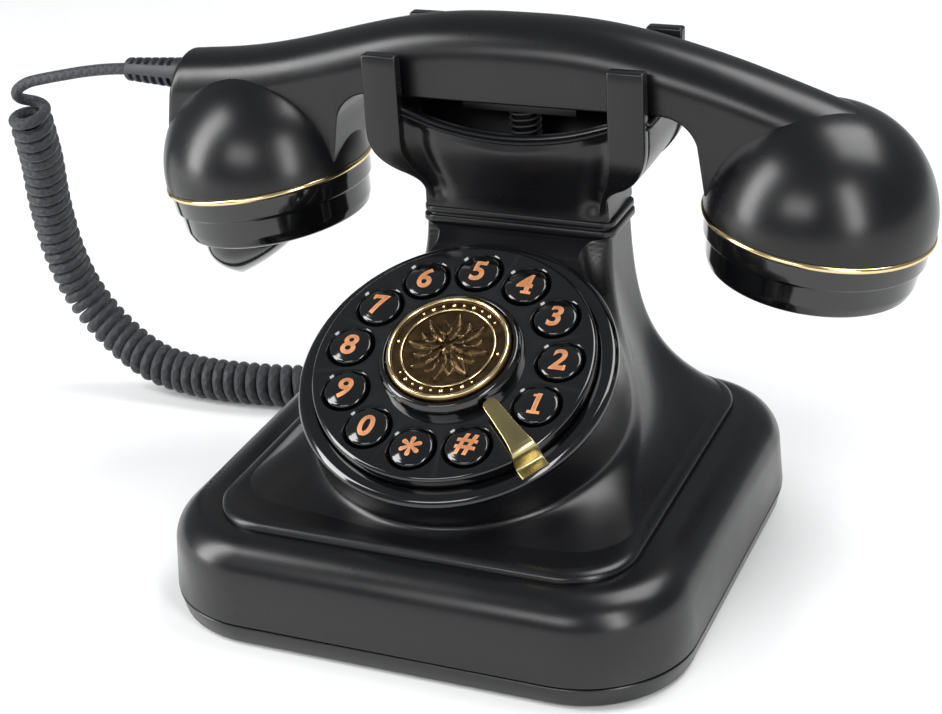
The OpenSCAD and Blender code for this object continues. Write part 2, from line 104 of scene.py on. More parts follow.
def shade(obj, sharp):
    """Smooth shading, broken at edges that turn more than sharp degrees."""
    obj.data.shade_smooth()
    obj.data.set_sharp_from_angle(angle=radians(sharp))


def grid(rows, columns, closed=False):
    """Quads between rows of points. Each row is a ring, and if closed the rows are one too."""
    faces = []
    for j in range(rows if closed else rows - 1):
        a, b = j * columns, (j + 1) % rows * columns
        for i in range(columns):
            k = (i + 1) % columns
            faces.append((a + i, a + k, b + k, b + i))
    return faces


def loft(name, rings, place=None, sharp=35, closed=False):
    """A solid through rings of equally many points, capped at both ends unless it is closed."""
    rings = np.asarray(rings, float)
    m, n = rings.shape[:2]
    faces = grid(m, n, closed)
    if not closed:
        faces += [tuple(range(n))[::-1], tuple(range((m - 1) * n, m * n))]
    return piece(name, rings.reshape(-1, 3), faces, place, sharp)


def fillet(points, radius, steps=4, closed=True):
    """A flat outline with each of its corners rounded."""
    out = []
    n = len(points)
    for i, p in enumerate(points):
        p = np.array(p, float)
        if not closed and i in (0, n - 1):
            out.append(p)
            continue
        a, b = np.array(points[i - 1], float) - p, np.array(points[(i + 1) % n], float) - p
        la, lb = np.linalg.norm(a), np.linalg.norm(b)
        reach = min(radius, 0.45 * la, 0.45 * lb)
        for t in np.linspace(0, 1, steps + 1):
            out.append(p + (1 - t) ** 2 * reach * a / la + t * t * reach * b / lb)
    return [tuple(q) for q in out]


def lathe(name, profile, place=None, n=96, sharp=35):
    """A solid turned from an outline of radius and height: a loop, or ended on the axis."""
    rings = []
    for r, h in profile:
        rings.append([(r * cos(2 * pi * k / n), r * sin(2 * pi * k / n), h) for k in range(n)])
    closed = profile[0][0] > 0
    m = len(rings)
    return piece(name, np.reshape(rings, (-1, 3)), grid(m, n, closed), place, sharp)


def rounded_rect(hx, hy, r, n=12, cy=0.0):
    """A flat outline with half sizes hx and hy and corner radius r, n steps to a corner."""
    return [((1 if q in (0, 3) else -1) * (hx - r) + r * cos(pi / 2 * (q + i / n)),
             cy + (1 if q < 2 else -1) * (hy - r) + r * sin(pi / 2 * (q + i / n)))
            for q in range(4) for i in range(n + 1)]


def lift(outline, z):
    """The flat outline as a ring at height z."""
    return [(x, y, z) for x, y in outline]


def join(name, objects):
    """One object of several, with everything else left unselected."""
    for o in bpy.context.selected_objects:
        o.select_set(False)
    for o in objects:
        o.select_set(True)
    bpy.context.view_layer.objects.active = objects[0]
    bpy.ops.object.join()
    objects[0].name = name
    objects[0].select_set(False)
    return objects[0]


def box_mesh(name, low, high):
    """A box between two opposite corners."""
    (x0, y0, z0), (x1, y1, z1) = low, high
    corners = [(x, y, z) for x in (x0, x1) for y in (y0, y1) for z in (z0, z1)]
    faces = [(0, 1, 3, 2), (4, 6, 7, 5), (0, 4, 5, 1), (2, 3, 7, 6), (0, 2, 6, 4), (1, 5, 7, 3)]
    return piece(name, corners, faces)


def cut(obj, cutter, sharp=35):
    """Takes the cutter out of the piece for good."""
    change = obj.modifiers.new("cut", "BOOLEAN")
    change.operation = "DIFFERENCE"
    change.solver = "MANIFOLD"
    change.object = cutter
    apply_modifiers(obj)
    bpy.data.objects.remove(cutter)
    shade(obj, sharp)
    return obj


def apply_modifiers(obj):
    """Makes the modifiers' result the object's own mesh."""
    bpy.context.view_layer.update()
    graph = bpy.context.evaluated_depsgraph_get()
    mesh = bpy.data.meshes.new_from_object(obj.evaluated_get(graph))
    obj.modifiers.clear()
    obj.data = mesh


def bevel(obj, width):
    """Rounds the hard edges of a part that comes from the CAD."""
    change = obj.modifiers.new("bevel", "BEVEL")
    change.width = width * MM
    change.segments = 3
    change.limit_method = "ANGLE"
    change.angle_limit = radians(40)
    change.harden_normals = True


def spline(points, step):
    """Points about a step apart on a smooth curve through the given points."""
    p = np.array(points, float)
    p = np.vstack([2 * p[0] - p[1], p, 2 * p[-1] - p[-2]])
    out = []
    for i in range(1, len(p) - 2):
        n = max(2, int(np.ceil(np.linalg.norm(p[i + 1] - p[i]) / step)))
        for t in np.arange(n) / n:
            out.append(0.5 * (2 * p[i] + (p[i + 1] - p[i - 1]) * t
                              + (2 * p[i - 1] - 5 * p[i] + 4 * p[i + 1] - p[i + 2]) * t ** 2
                              + (3 * p[i] - p[i - 1] - 3 * p[i + 1] + p[i + 2]) * t ** 3))
    out.append(p[-2])
    return np.array(out)


def carried_frames(path):
    """Tangents and two square directions along a path, turning as little as they can."""
    t = np.gradient(path, axis=0)
    t /= np.linalg.norm(t, axis=1)[:, None]
    u = np.zeros_like(t)
    u[0] = np.cross(t[0], (0, 1, 0))
    u[0] /= np.linalg.norm(u[0])
    for i in range(1, len(t)):
        v = u[i - 1] - t[i] * np.dot(u[i - 1], t[i])
        u[i] = v / np.linalg.norm(v)
    return t, u, np.cross(t, u)


# Finishes

def finish_node(material, kind, inputs=None, **settings):
    """A shader node with its inputs and settings filled in."""
    node = material.node_tree.nodes.new("ShaderNode" + kind)
    for key, value in settings.items():
        setattr(node, key, value)
    for key, value in (inputs or {}).items():
        node.inputs[key].default_value = value
    return node


def finish(name, colour, rough, rough_change=0.05, metal=0.0, coat=0.0, coat_rough=0.1,
           grain=500.0, bump=0.05, wear=0.35, wear_colour=None, specular=0.5, smear=40.0,
           dark=None):
    """A surface with fine grain, patches of different polish, and edges rubbed by handling.

    The grain and smear are scales of noise, and the colour falls to dark in the patches.
    """
    m = bpy.data.materials.new(name)
    m.use_nodes = True
    link = m.node_tree.links.new
    shader = m.node_tree.nodes["Principled BSDF"]
    shader.inputs["Metallic"].default_value = metal
    shader.inputs["Coat Weight"].default_value = coat
    shader.inputs["Coat Roughness"].default_value = coat_rough
    shader.inputs["Specular IOR Level"].default_value = specular
    place = finish_node(m, "TexCoord")
    patches = finish_node(m, "TexNoise", {"Scale": smear, "Detail": 4.0, "Roughness": 0.6})
    link(place.outputs["Object"], patches.inputs["Vector"])
    polish = finish_node(m, "MapRange", {"From Min": 0.3, "From Max": 0.7,
                                         "To Min": max(rough - rough_change, 0.02),
                                         "To Max": rough + rough_change})
    link(patches.outputs["Fac"], polish.inputs["Value"])
    link(polish.outputs["Result"], shader.inputs["Roughness"])
    edge = finish_node(m, "NewGeometry")
    ramp = finish_node(m, "MapRange", {"From Min": 0.52, "From Max": 0.62,
                                       "To Min": 0.0, "To Max": wear})
    link(edge.outputs["Pointiness"], ramp.inputs["Value"])
    lighter = wear_colour or tuple(min(1.0, c * 2.2 + 0.01) for c in colour)
    tone = finish_node(m, "Mix", data_type="RGBA")
    low = dark or tuple(c * 0.8 for c in colour)
    tone.inputs[6].default_value = (*low, 1)
    tone.inputs[7].default_value = (*colour, 1)
    link(patches.outputs["Fac"], tone.inputs[0])
    rubbed = finish_node(m, "Mix", data_type="RGBA")
    rubbed.inputs[7].default_value = (*lighter, 1)
    link(ramp.outputs["Result"], rubbed.inputs[0])
    link(tone.outputs[2], rubbed.inputs[6])
    link(rubbed.outputs[2], shader.inputs["Base Color"])
    fine = finish_node(m, "TexNoise", {"Scale": grain, "Detail": 2.0})
    link(place.outputs["Object"], fine.inputs["Vector"])
    rise = finish_node(m, "Bump", {"Strength": bump, "Distance": 0.0001})
    link(fine.outputs["Fac"], rise.inputs["Height"])
    link(rise.outputs["Normal"], shader.inputs["Normal"])
    return m


def braid_finish(name, colour):
    """Woven yarn over a cord: crossing strands that follow the cord's own length and round."""
    m = finish(name, colour, 0.62, 0.08, grain=900.0, bump=0.2, wear=0.0)
    link = m.node_tree.links.new
    along = finish_node(m, "UVMap")
    waves = []
    for turn in (1, -1):
        place = finish_node(m, "Mapping", {"Rotation": (0, 0, turn * radians(45))})
        wave = finish_node(m, "TexWave", {"Scale": 1.6, "Distortion": 0.0})
        link(along.outputs["UV"], place.inputs["Vector"])
        link(place.outputs["Vector"], wave.inputs["Vector"])
        waves.append(wave)
    both = finish_node(m, "Math", operation="MAXIMUM")
    for i, wave in enumerate(waves):
        link(wave.outputs["Fac"], both.inputs[i])
    shader = m.node_tree.nodes["Principled BSDF"]
    rise = finish_node(m, "Bump", {"Strength": 0.7, "Distance": 0.0003})
    link(both.outputs["Value"], rise.inputs["Height"])
    link(shader.inputs["Normal"].links[0].from_socket, rise.inputs["Normal"])
    link(rise.outputs["Normal"], shader.inputs["Normal"])
    shader.inputs["Sheen Weight"].default_value = 0.12
    shader.inputs["Sheen Roughness"].default_value = 0.5
    return m


BLACK = finish("satin_black", (0.003, 0.0031, 0.0038), 0.285, 0.03, grain=1500.0,
               specular=0.42)
GLOSS = finish("gloss_black", (0.002, 0.0021, 0.0024), 0.1, 0.03, coat=0.35, coat_rough=0.04,
               grain=900.0, bump=0.02)
GILT = finish("gilt", (0.86, 0.69, 0.38), 0.14, metal=1.0, bump=0.04,
              dark=(0.74, 0.56, 0.28), wear_colour=(0.95, 0.8, 0.5))
BRASS = finish("brass", (0.4, 0.34, 0.17), 0.26, 0.06, metal=1.0,
               dark=(0.36, 0.3, 0.14), wear_colour=(0.8, 0.72, 0.45))
BRONZE = finish("bronze", (0.11, 0.07, 0.033), 0.36, 0.08, metal=1.0, bump=0.2, smear=300.0,
                dark=(0.03, 0.019, 0.011), wear_colour=(0.62, 0.42, 0.2), wear=0.9)
COPPER = finish("copper_ink", (0.5, 0.21, 0.095), 0.42, metal=0.35,
                dark=(0.38, 0.15, 0.065))
RUBBER = finish("soft_rubber", (0.014, 0.017, 0.022), 0.5, 0.06, bump=0.15, grain=1200.0)
FOOT = finish("foot_rubber", (0.02, 0.02, 0.021), 0.75, 0.08, bump=0.3)
STEEL = finish("plated_steel", (0.6, 0.6, 0.6), 0.28, 0.08, metal=1.0, dark=(0.4, 0.4, 0.4))
SPRING = finish("spring_steel", (0.012, 0.012, 0.013), 0.5, 0.06)
BOARD = finish("circuit_board", (0.02, 0.11, 0.05), 0.4, 0.08, coat=0.4)
PART = finish("component", (0.05, 0.05, 0.055), 0.45, 0.06)
MEMBRANE = finish("membrane", (0.3, 0.3, 0.31), 0.5, 0.06)
CLEAR = finish("plug_plastic", (0.42, 0.43, 0.44), 0.18, 0.05, coat=0.5)
BRAID = braid_finish("braid", (0.011, 0.014, 0.018))


def dress(obj, material, slot, body, *nodes):
    """Gives a piece its finish and body, and hides the CAD nodes that it stands for. The slot is
    not used.
    """
    obj.data.materials.clear()
    obj.data.materials.append(material)
    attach(obj, body)
    if nodes:
        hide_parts(*nodes)
    return obj


# Camera, floor and light

def make_camera():
    """A camera fitted to the photograph: where it stood, how it was turned and its lens."""
    stand = (0.2044, -0.4767, 0.3114)
    yaw, pitch, roll = radians(26.07), radians(25.92), radians(-4.37)
    ahead = Vector((-sin(yaw) * cos(pitch), cos(yaw) * cos(pitch), -sin(pitch)))
    level = Vector((cos(yaw), sin(yaw), 0))
    over = level.cross(ahead)
    right = cos(roll) * level + sin(roll) * over
    up = cos(roll) * over - sin(roll) * level
    data = bpy.data.cameras.new("camera")
    data.sensor_width = 36
    data.lens = 79.28
    data.shift_x = 0.0904
    data.shift_y = 0.0095
    camera = bpy.data.objects.new("camera", data)
    turn = Matrix((right, up, -ahead)).transposed().to_4x4()
    camera.matrix_world = Matrix.Translation(stand) @ turn
    bpy.context.scene.collection.objects.link(camera)
    bpy.context.scene.camera = camera


def make_floor():
    """A wide sheet of white paper."""
    half = 4000
    corners = [(-half, -half, 0), (half, -half, 0), (half, half, 0), (-half, half, 0)]
    floor = piece("floor", corners, [(0, 1, 2, 3)])
    material = finish("paper", (0.86, 0.86, 0.86), 0.7, wear=0.0, bump=0.02, specular=0.2,
                      dark=(0.84, 0.84, 0.84))
    floor.data.materials.append(material)


def area_light(name, where, at, size, power):
    """A rectangular lamp that faces a point. Lengths are in metres and power in watts."""
    data = bpy.data.lights.new(name, "AREA")
    data.shape = "RECTANGLE"
    data.size, data.size_y = size
    data.energy = power
    light = bpy.data.objects.new(name, data)
    where = Vector(where)
    light.location = where
    light.rotation_euler = (Vector(at) - where).to_track_quat("-Z", "Y").to_euler()
    bpy.context.scene.collection.objects.link(light)


def make_light():
    """Soft studio light. The top lamp stands aside, where the dial doesn't mirror it."""
    world = bpy.data.worlds.new("studio")
    world.use_nodes = True
    background = world.node_tree.nodes["Background"]
    background.inputs["Color"].default_value = (0.93, 0.96, 1, 1)
    background.inputs["Strength"].default_value = 0.28
    bpy.context.scene.world = world
    middle = (0, 0, 0.08)
    area_light("left_panel", (-0.85, -0.45, 0.55), middle, (0.35, 1.1), 14)
    area_light("right_panel", (0.95, -0.75, 0.6), middle, (0.3, 1.0), 10)
    area_light("top", (0.55, 0.45, 1.3), (0, 0, 0), (0.9, 0.8), 16)
    area_light("front", (-0.15, -1.3, 0.75), middle, (0.7, 0.4), 6)
    bpy.context.scene.view_settings.view_transform = "Standard"


# Cord

# Routes chosen: from the strain relief, along the coil's middle, and up to the jack
LEAD_ROUTE = [(-129.6, HAND_Y, SLEEVE_Z), (-134, HAND_Y, 120.5), (-140, 43, 119.7),
              (-147, 43, 118.5), (-154, 43, 117), (-161, 43, 115.4), (-167, 43, 113.8),
              (-171.6, 43, 112), (-173.9, 43, 109.8)]
COIL_ROUTE = [(-168.7, 43, 107.2), (-168.9, 43.5, 102), (-169.6, 46, 94), (-171.4, 50, 84),
              (-173.2, 53, 72), (-174.2, 56, 60), (-173.4, 58, 48), (-170.6, 60, 36),
              (-165, 61, 26), (-156, 61, 17), (-145, 60, 11), (-134, 60, 8.2),
              (-122, 60, 7.3), (-108, 61, 7.2), (-95, 63, 7.2), (-83, 67, 7.2),
              (-72, 72, 7.2), (-62, 79, 7.2), (-56, 84, 7.2)]
TAIL_ROUTE = [(-52.5, 87, 7), (-48.5, 90, 7.6), (-44.5, 91.3, 9.4), (-41.2, 90.8, 12),
              (-38.8, 88.4, 14.4), (-38, 85.4, 15.4), (-38, 82, 15.5)]
WIRE_R = 1.8  # radius of the cord itself
WIND_R = 5.3  # radius of the helix at the cord's centreline
PITCH = 3.9  # from one turn of the coil to the next


def cord_path():
    """The cord's centreline: the lead, a helix that opens and closes smoothly, and the tail."""
    core = spline(COIL_ROUTE, 0.1)
    along = np.concatenate([[0], np.cumsum(np.linalg.norm(np.diff(core, axis=0), axis=1))])
    total = along[-1]
    _, u, v = carried_frames(core)
    extra, reach = 7, 2.5  # the pitch grows by this much, over this length, at both ends
    pitch = PITCH + extra * np.exp(-along / reach) + extra * np.exp(-(total - along) / reach)
    angle = np.diff(along) * 2 * pi / (0.5 * (pitch[1:] + pitch[:-1]))
    turn = pi + np.concatenate([[0], np.cumsum(angle)])
    closing = 4  # length over which the helix closes in on its middle at the base's end
    t = np.clip((total - along) / closing, 0, 1)
    radius = WIND_R * (t ** 2 * (3 - 2 * t))
    helix = core + radius[:, None] * (np.cos(turn)[:, None] * u + np.sin(turn)[:, None] * v)
    lead = spline(LEAD_ROUTE + [helix[0]], 0.5)[:-1]
    points = np.vstack([lead, helix, spline([COIL_ROUTE[-1]] + TAIL_ROUTE, 0.5)[1:]])
    bend = np.linalg.norm(np.diff(lead, axis=0), axis=1).sum()
    fine = 0.65
    points, _ = even_path(points, fine)
    # Relax the bend where the lead runs into the coil's first turn
    before, after = 9, 7
    first, last = int((bend - before) / fine), int((bend + after) / fine)
    for _ in range(30):
        points[first:last] += 0.5 * (points[first - 1:last - 1] + points[first + 1:last + 1]
                                     - 2 * points[first:last])
    return even_path(points, 2 * fine)


def even_path(points, step):
    """Points about a step apart along a polyline, and the polyline's length."""
    length = np.concatenate([[0], np.cumsum(np.linalg.norm(np.diff(points, axis=0), axis=1))])
    at = np.linspace(0, length[-1], int(length[-1] / step))
    return np.column_stack([np.interp(at, length, points[:, k]) for k in range(3)]), length[-1]


def tube_mesh(name, path, radius, sides):
    """A capped round tube along a path."""
    _, u, v = carried_frames(path)
    rings = [[path[i] + radius * (cos(2 * pi * k / sides) * u[i] + sin(2 * pi * k / sides) * v[i])
              for k in range(sides)] for i in range(len(path))]
    m = len(rings)
    faces = grid(m, sides) + [tuple(range(sides))[::-1], tuple(range((m - 1) * sides, m * sides))]
    mesh = bpy.data.meshes.new(name)
    mesh.from_pydata((np.reshape(rings, (-1, 3)) * MM).tolist(), [], faces)
    return mesh


def make_spring():
    """The hook's coil spring, which stretches between the cradle's floor and the plunger."""
    low, high, turns = 103.5, 118.2, 8
    coil_r, wire_r, steps = 4.3, 0.4, 24
    path = []
    for k in range(turns * steps + 1):
        a = 2 * pi * k / steps
        z = low + (high - low) * k / (turns * steps)
        path.append((coil_r * cos(a), HAND_Y + coil_r * sin(a), z))
    spring = bpy.data.objects.new("spring", tube_mesh("spring", np.array(path), wire_r, 10))
    bpy.context.scene.collection.objects.link(spring)
    shade(spring, 60)
    spring.data.materials.append(SPRING)
    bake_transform(spring)
    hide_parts("hook_spring")


def make_cord(sleeve):
    """The whole cord as one piece, stretched between the base and the handset."""
    path, length = cord_path()
    sides = 14
    m = len(path)
    mesh = tube_mesh("cord", path, WIRE_R, sides)
    layer = mesh.uv_layers.new(name="UVMap")
    step = length / (m - 1)
    for face in mesh.polygons:
        if len(face.vertices) == 4:
            for loop, vertex in zip(face.loop_indices, face.vertices):
                row, side = divmod(vertex, sides)
                last_face = face.index % sides == sides - 1
                wrap = side + (sides if side == 0 and last_face else 0)
                layer.data[loop].uv = (row * step / (2 * pi * WIRE_R), wrap / sides)
    cord = bpy.data.objects.new("cord", mesh)
    bpy.context.scene.collection.objects.link(cord)
    shade(cord, 60)
    cord.data.materials.append(BRAID)
    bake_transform(cord)
    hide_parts("handset_lead", "coil", "base_lead")


def make_strain_relief():
    """Tapered rubber sleeve with a row of slots above and below."""
    start, length, sides = -106.8, 23.0, 72
    root_r, narrowing, collar, rounding, tip_drop = 4.7, 1.2, 4.2, 1.2, 0.8
    slots, first_slot, slot_step = 6, 5.0, 2.75
    slot_half, slot_depth, slot_edge, slot_turn = 0.75, 1.3, 0.25, 0.35
    rings = []
    for s in np.linspace(0, length, 140):
        taper = root_r - narrowing * max(0, (s - collar) / (length - collar))
        r = taper - tip_drop * max(0, (s - length + rounding) / rounding) ** 2
        cell = (s - first_slot) / slot_step
        in_row = 0 < cell < slots
        gap = abs(cell - np.floor(cell) - 0.5) * slot_step
        deep = in_row * np.clip((slot_half - gap) / slot_edge, 0, 1)
        ring = []
        for k in range(sides):
            a = 2 * pi * k / sides
            facing = np.clip((abs(sin(a + slot_turn)) - 0.42) / 0.08, 0, 1)
            slotted = r - slot_depth * deep * facing
            ring.append((start - s, HAND_Y + slotted * cos(a), SLEEVE_Z + slotted * sin(a)))
        rings.append(ring)
    sleeve = loft("strain_sleeve", rings, sharp=50)
    return dress(sleeve, RUBBER, "cord_rubber", "handset", "strain_relief")


# Base

def base_ring(inset, z):
    """The base's outline at height z, drawn in by an inset."""
    hx, hy = BASE_HALF
    return lift(rounded_rect(hx - inset, hy - inset, BASE_CORNER - inset, 24), z)


def make_base():
    """The upper shell with its rear openings, the tray, and a core behind their seam."""
    top, shoulder, draft, steps = 30.5, 10.0, 0.9, 18
    rings = [base_ring(0.5, 7.4), base_ring(0.14, 7.5), base_ring(0.0, 7.8)]
    for i in range(steps + 1):
        a = pi / 2 * i / steps
        inset = draft + shoulder * (1 - cos(a))
        rings.append(base_ring(inset, top - shoulder + shoulder * sin(a)))
    shell = loft("base_shell", rings)
    handset_jack, line_jack = ((-44, 60, 10.5), (-32, 80, 20.5)), ((31, 60, 10.5), (45, 80, 20.5))
    ringer_switch = ((-5.2, 60, 13.5), (5.2, 80, 17.5))
    openings = [box_mesh("opening", *b) for b in (handset_jack, line_jack, ringer_switch)]
    cut(shell, join("openings", openings))
    dress(shell, BLACK, "housing", "base", "housing")
    rings = [base_ring(inset, z) for inset, z in
             [(2.4, 1), (1.9, 1.1), (1.3, 1.8), (0.1, 6.7), (0.25, 6.95), (0.7, 7.1)]]
    dress(loft("base_tray", rings), BLACK, "tray", "base", "bottom_tray")
    core = [base_ring(1.5, 6.9), base_ring(1.5, 7.6)]
    dress(loft("seam_core", core), BLACK, "tray", "base", "bottom_tray")


def make_foot():
    """The stepped lip that the pylon's flare runs out onto."""
    cy, hx, hy, corner = 1.0, 59.5, 61.3, 18.4
    profile = [(29.8, 0.3), (30.3, 0.3), (30.6, 0.0), (31.2, 0.0), (31.7, 0.12), (32.2, 0.45),
               (32.6, 0.95), (32.9, 1.6), (33.1, 2.5), (33.2, 4.0)]
    rings = [lift(rounded_rect(hx - d, hy - d, corner - d, 20, cy), z) for z, d in profile]
    dress(loft("pylon_foot", rings), BLACK, "housing", "base", "housing")


def smooth_union(a, b, k):
    """The nearer of two distances, blended where they differ by less than k."""
    h = np.maximum(k - np.abs(a - b), 0) / k
    return np.minimum(a, b) - h * h * k / 4


def rect_distance(x, y, hx, hy, r):
    """Distance from a rounded rectangle round the origin, negative inside it."""
    qx, qy = np.abs(x) - hx + r, np.abs(y) - hy + r
    return np.minimum(np.maximum(qx, qy), 0) + np.hypot(np.maximum(qx, 0), np.maximum(qy, 0)) - r


def pylon_distance(x, y, z):
    """Distance from the pylon: a skirt that flares out downward, the dial's boss and a web."""
    neck_half_y, neck_corner, foot_front, foot_rear, foot_z = 11, 4, -60.3, 62.3, 31.5
    spread_x, spread_corner, flare, boss_r = 32.1, 14.4, 0.076, 44.2
    boss_blend, web_blend = 15, 8
    e = np.exp(-flare * (z - foot_z))
    front = HAND_Y - neck_half_y + (foot_front - HAND_Y + neck_half_y) * e
    rear = HAND_Y + neck_half_y + (foot_rear - HAND_Y - neck_half_y) * e
    skirt = rect_distance(x, y - (front + rear) / 2, NECK_HALF + spread_x * e,
                          (rear - front) / 2, neck_corner + spread_corner * e)
    up = (y - DIAL_Y) * sin(DIAL_TILT) + (z - DIAL_Z) * cos(DIAL_TILT)
    boss = np.hypot(x, up) - boss_r
    web = rect_distance(x, y - PYLON_Y, 19, 28, 8)
    return smooth_union(smooth_union(skirt, boss, boss_blend), web, web_blend)


def dial_back(y):
    """Height of the sloping face that the dial's rim lies on."""
    return DIAL_Z + (RIM_BACK + (y - DIAL_Y) * cos(DIAL_TILT)) / sin(DIAL_TILT)


def make_pylon():
    """The pylon's wall found by halving, cut off along the dial's slope, with the dial's well."""
    heights = np.concatenate([np.arange(32.0, 46, 0.4), np.arange(46, 84.9, 0.7), [SEAM_Z]])
    sides = 480
    angles = 2 * pi * np.arange(sides) / sides
    z, a = np.meshgrid(heights, angles, indexing="ij")
    low, high = np.zeros_like(z), np.full_like(z, 110.0)
    for _ in range(30):
        r = (low + high) / 2
        inside = pylon_distance(r * np.cos(a), PYLON_Y + r * np.sin(a), z) < 0
        low, high = np.where(inside, r, low), np.where(inside, high, r)
    rings = np.stack([r * np.cos(a), PYLON_Y + r * np.sin(a), z], axis=-1)
    pylon = loft("pylon", rings)
    front, neck_front, above = -120, 30.8, 140
    side = [(front, dial_back(front)), (neck_front, dial_back(neck_front)),
            (neck_front, above), (front, above)]
    cut(pylon, loft("wedge", [[(x, y, h) for y, h in side] for x in (-100, 100)]))
    well_r = 38.2
    cut(pylon, lathe("well", [(0, -20), (well_r, -20), (well_r, 4), (0, 4)], DIAL))
    dress(pylon, BLACK, "housing", "base", "housing")


# Dial

def key_place(i):
    """The frame of key i at its seat on the dial, turned to face the dial's middle."""
    turn = Matrix.Rotation(radians(KEY_START + KEY_STEP * i), 4, "Z")
    return DIAL @ turn @ Matrix.Translation((KEY_CIRCLE, 0, 0))


def make_dial():
    """The rim, the face with a dish for each key and a hole for the rocker, and the bezel."""
    inner, outer, front = 39.5, 44.5, -5
    ring = fillet([(inner, RIM_BACK), (outer, RIM_BACK), (outer, -6.2), (43.3, front),
                   (inner, front)], 0.7)
    dress(lathe("dial_rim", ring, DIAL, 192), GLOSS, "gloss_black", "base", "dial_ring")
    face = fillet([(0, -6.6), (39.35, -6.6), (39.35, -1.9), (38.7, -1.2), (0, -1.2)], 0.5,
                  closed=False)
    disc = lathe("dial_face", face, DIAL, 192)
    dish = [(0, -9), (6.25, -9), (6.25, -2.2), (6.35, -1.95), (6.6, -1.7), (6.85, -1.45),
            (7.05, -1.25), (7.2, -1.1), (7.2, 1), (0, 1)]
    dishes = [lathe("dish", dish, key_place(i), 64) for i in range(len(KEYS))]
    cut(disc, join("dishes", dishes))
    cut(disc, lathe("centre", [(0, -9), (17.6, -9), (17.6, 4), (0, 4)], DIAL))
    dress(disc, GLOSS, "gloss_black", "base", "dial_disc")
    bezel = fillet([(17.75, -3), (20.0, -3), (20.0, 1.2), (18.9, 3.2), (17.75, 3.2)], 0.9, 5)
    dress(lathe("bezel", bezel, DIAL, 128), GLOSS, "gloss_black", "base", "centre_bezel")


def make_finger_stop():
    """A bent strip: a foot on the rim, a step over its edge, and an arm with a round tip."""
    # Distance from the dial's middle, width and height
    stations = [(43.8, 8.0, -4.62), (41.4, 8.0, -4.62), (40.5, 8.0, -4.2), (40.1, 8.0, -3.0),
                (39.9, 7.6, -0.6), (39.6, 7.0, 0.8), (38.8, 6.6, 1.5), (37.2, 6.1, 1.8),
                (34, 5.4, 1.95), (30, 4.9, 2.1), (26, 4.5, 2.25), (23.2, 4.3, 2.35),
                (22.2, 3.8, 2.4), (21.6, 2.9, 2.42), (21.3, 1.6, 2.43)]
    path = spline(stations, 0.35)
    along = np.gradient(path[:, [0, 2]], axis=0)
    along /= np.linalg.norm(along, axis=1)[:, None]
    rings = []
    half_thick, stop_angle = 0.33, -42
    for (r, width, h), (dr, dh) in zip(path, along):
        section = rounded_rect(width / 2, half_thick, 0.2, 4)
        rings.append([(r + v * dh, u, h - v * dr) for u, v in section])
    place = DIAL @ Matrix.Rotation(radians(stop_angle), 4, "Z")
    dress(loft("stop_strip", rings, place, 45), BRASS, "gilt", "base", "finger_stop")


def key_height(r):
    """Height of a key's dome, 20 mm in radius, at a distance r from its middle."""
    dome_r = 20
    return sqrt(dome_r * dome_r - r * r) - dome_r


def make_keys():
    """Twelve domed caps on their own bodies, each with its figure."""
    key_r, edge_r = 5.9, 0.8
    top = [(r, key_height(r)) for r in np.linspace(0, 4.9, 14)]
    edge = [(key_r - edge_r * (1 - sin(a)), key_height(5.05) - edge_r * (1 - cos(a)))
            for a in np.linspace(0.35, pi / 2, 7)]
    profile = top + edge + [(key_r, -4.6), (5.2, -4.9), (0, -4.9)]
    glyphs = {"star": "*", "hash": "#"}
    for i, key in enumerate(KEYS):
        angle = radians(KEY_START + KEY_STEP * i)
        centre = (KEY_CIRCLE * cos(angle), KEY_CIRCLE * sin(angle))
        place = DIAL @ Matrix.Translation((*centre, 0))
        body = f"key_{key}_body"
        dress(lathe(f"cap_{key}", profile, place, 72), GLOSS, "key_cap", body, f"key_{key}")
        make_numeral(key, glyphs.get(key, key), place, body)


def make_numeral(key, text, place, body):
    """A thin raised figure that follows the dome of its key."""
    curve = bpy.data.curves.new("figure", "FONT")
    curve.body = text
    curve.size = 9.0 if text != "*" else 13.0  # the font draws its star small and high
    curve.shear = 0.06
    curve.offset = 0.22
    curve.extrude = 0.1
    curve.resolution_u = 6
    temp = bpy.data.objects.new("figure", curve)
    bpy.context.scene.collection.objects.link(temp)
    bpy.context.view_layer.update()
    graph = bpy.context.evaluated_depsgraph_get()
    mesh = bpy.data.meshes.new_from_object(temp.evaluated_get(graph))
    bpy.data.objects.remove(temp)
    bm = bmesh.new()
    bm.from_mesh(mesh)
    bmesh.ops.remove_doubles(bm, verts=bm.verts, dist=1e-4)
    for _ in range(3):
        long = [e for e in bm.edges if e.calc_length() > 0.9]
        bmesh.ops.subdivide_edges(bm, edges=long, cuts=1)
        bmesh.ops.triangulate(bm, faces=bm.faces)
    add_serifs(bm, text)
    low = [min(v.co[k] for v in bm.verts) for k in (0, 1)]
    high = [max(v.co[k] for v in bm.verts) for k in (0, 1)]
    proud, sunk, dome_edge = 0.09, -0.1, 5.0
    for v in bm.verts:
        x, y = v.co[0] - (low[0] + high[0]) / 2, v.co[1] - (low[1] + high[1]) / 2
        dome = key_height(min(sqrt(x * x + y * y), dome_edge))
        v.co = (x, y, dome + (proud if v.co[2] > 0 else sunk))
    bm.to_mesh(mesh)
    bm.free()
    mesh.transform(place)
    mesh.transform(Matrix.Scale(MM, 4))
    figure = bpy.data.objects.new(f"figure_{key}", mesh)
    bpy.context.scene.collection.objects.link(figure)
    shade(figure, 35)
    dress(figure, COPPER, "numerals", body)


